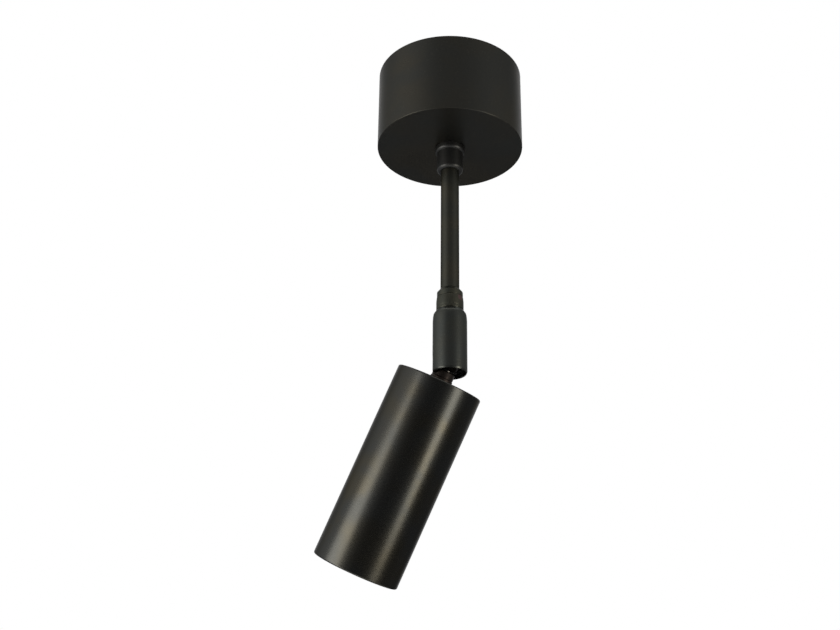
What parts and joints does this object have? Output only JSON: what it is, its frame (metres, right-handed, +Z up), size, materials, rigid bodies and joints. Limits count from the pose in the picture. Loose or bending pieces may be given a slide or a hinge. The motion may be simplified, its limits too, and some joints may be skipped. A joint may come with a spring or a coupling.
{
  "type": "surface mounted ceiling spotlight",
  "caption": "Ceiling spotlight: a drum canopy, a straight stem and a slotted ball joint carry a long tubular lamp head that pans, tilts and turns.",
  "frame": {"origin": "centre of the ceiling plane inside the canopy's rim, midway between the strap's two slots", "axes": "+Z up into the ceiling, X along the ceiling strap, the picture is taken from the -Y side"},
  "size_m": [0.1349, 0.1164, 0.3568],
  "materials": {
    "dark_brass": "dark bronzed, satin",
    "socket_brass": "dark bronzed, matt",
    "head_brass": "dark bronzed, satin gloss",
    "stud_brass": "dark bronzed, polished by use",
    "bare_brass": "machined",
    "zinc_steel": "zinc plated",
    "dark_screw": "blackened",
    "spring_steel": "oiled",
    "nylon": "matt",
    "bush_rubber": "matt",
    "black_baffle": "matt black",
    "ceramic": "glazed ceramic",
    "lamp_pin_metal": "plain",
    "reflector": "bright, inside mirrored",
    "lamp_front_glass": "clear, faceted",
    "burner_glass": "frosted",
    "earth_sleeve": "green and yellow",
    "neutral_sleeve": "blue",
    "live_sleeve": "brown",
    "lead_sleeve": "heat-proof sleeve"
  },
  "bodies": {
    "fixture": {"canopy_cup": "dark_brass", "ceiling_strap": "zinc_steel", "canopy_screws": "dark_screw", "cable_bush": "bush_rubber", "earth_washer": "zinc_steel", "earth_screw": "zinc_steel", "terminal_block": "nylon", "terminal_sleeves": "bare_brass", "terminal_screws": "zinc_steel", "block_screw": "zinc_steel", "threaded_nipple": "bare_brass", "nipple_washer": "zinc_steel", "nipple_nut": "zinc_steel", "canopy_collar": "dark_brass", "stem_tube": "dark_brass", "lock_ring": "dark_brass", "swivel_cap": "dark_brass", "swivel_washer": "zinc_steel", "swivel_nut": "zinc_steel", "earth_lead": "earth_sleeve", "neutral_lead": "neutral_sleeve", "live_lead": "live_sleeve"},
    "socket": {"joint_socket": "socket_brass", "spring_circlip": "spring_steel", "seat_circlip": "spring_steel", "disc_springs": "spring_steel", "upper_seat": "nylon", "lower_seat": "nylon", "joint_leads": "lead_sleeve"},
    "stud": {"ball_stud": "stud_brass", "stud_washer": "zinc_steel", "stud_nut": "zinc_steel", "head_collar": "stud_brass", "stud_leads": "lead_sleeve"},
    "head": {"head_tube": "head_brass", "head_cap": "head_brass", "front_baffle": "black_baffle", "front_circlip": "spring_steel", "holder_bridge": "zinc_steel", "bridge_screws": "zinc_steel", "holder_screws": "zinc_steel", "lamp_holder": "ceramic", "lamp_base": "ceramic", "lamp_pins": "lamp_pin_metal", "lamp_shell": "reflector", "lamp_glass": "lamp_front_glass", "lamp_burner": "burner_glass", "head_earth_tag": "zinc_steel", "head_earth_screw": "zinc_steel", "head_earth_lead": "earth_sleeve", "head_neutral_lead": "neutral_sleeve", "head_live_lead": "live_sleeve"}
  },
  "joints": [
    {"name": "socket_pan", "type": "hinge", "parent": "fixture", "child": "socket", "pos_m": [0, 0, -0.185], "axis": [0, 0, 1], "range_deg": [-175, 175]},
    {"name": "stud_tilt", "type": "hinge", "parent": "socket", "child": "stud", "pos_m": [0, 0, -0.217], "axis": [0.5527, 0.8334, 0], "range_deg": [-29.4, 45.6], "deforming": ["joint_leads"]},
    {"name": "head_turn", "type": "hinge", "parent": "stud", "child": "head", "pos_m": [-0.00642, 0.00426, -0.23068], "axis": [-0.4091, 0.2713, -0.8712], "range_deg": [-170, 170]}
  ]
}
